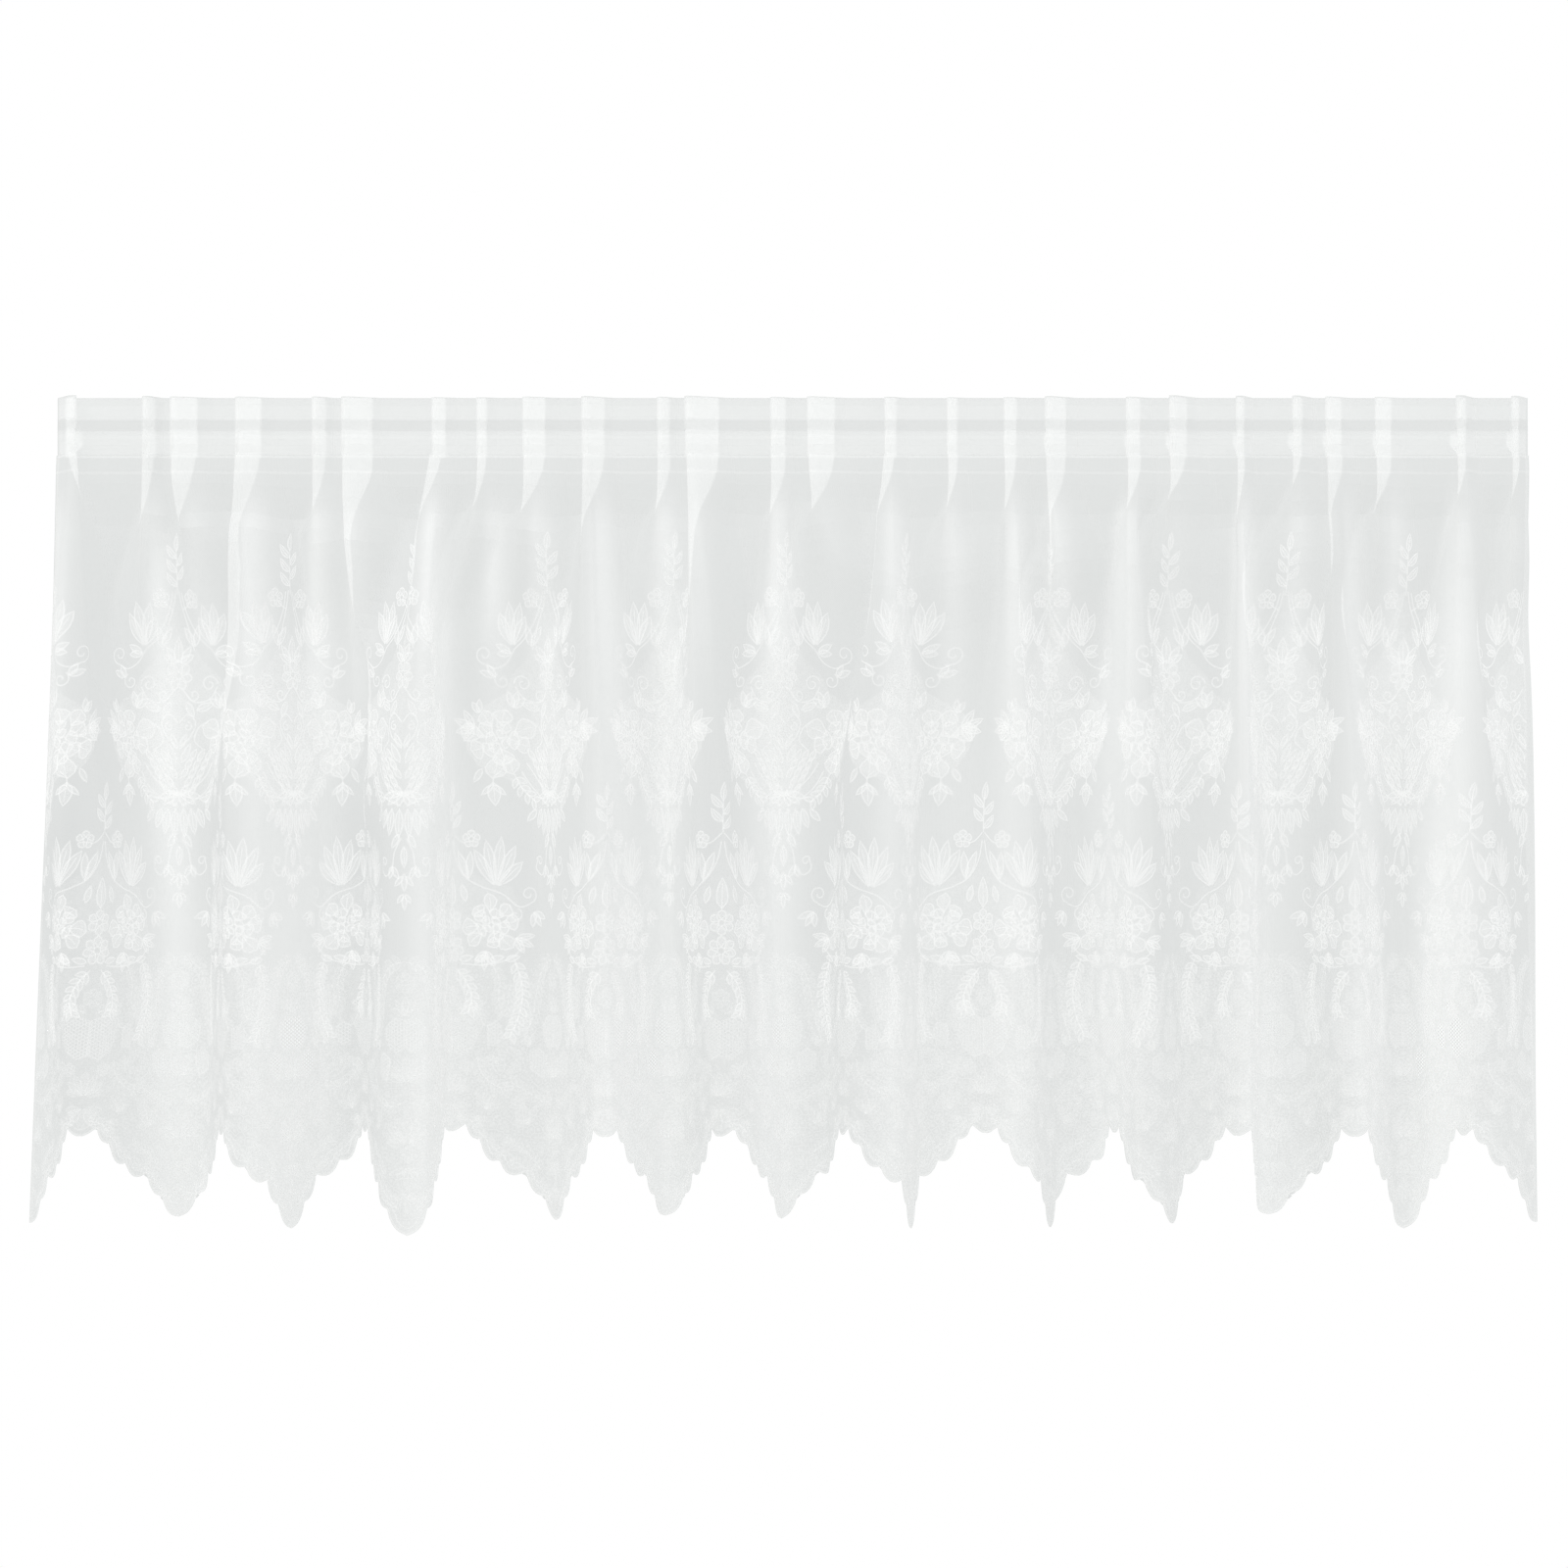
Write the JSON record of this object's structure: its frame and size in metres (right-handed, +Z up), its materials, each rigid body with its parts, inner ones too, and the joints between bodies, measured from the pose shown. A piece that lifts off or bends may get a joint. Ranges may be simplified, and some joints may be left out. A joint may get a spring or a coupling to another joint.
{
  "type": "lace curtain",
  "caption": "Short sheer lace curtain with a gathered rod-pocket heading, floral lace motifs and a pointed, scalloped hem, hanging in soft folds.",
  "frame": {"origin": "middle of the top edge of the heading, in the plane of the cloth between its pleats", "axes": "+X to the right as seen from the front, +Z up, the front of the curtain faces -Y"},
  "size_m": [1.0836, 0.1019, 0.6],
  "materials": {
    "heading": "matt white net, folded over in layers",
    "lace": "matt white sheer lace"
  },
  "bodies": {
    "root": {"heading": "heading", "lace_panel": "lace"}
  },
  "joints": []
}
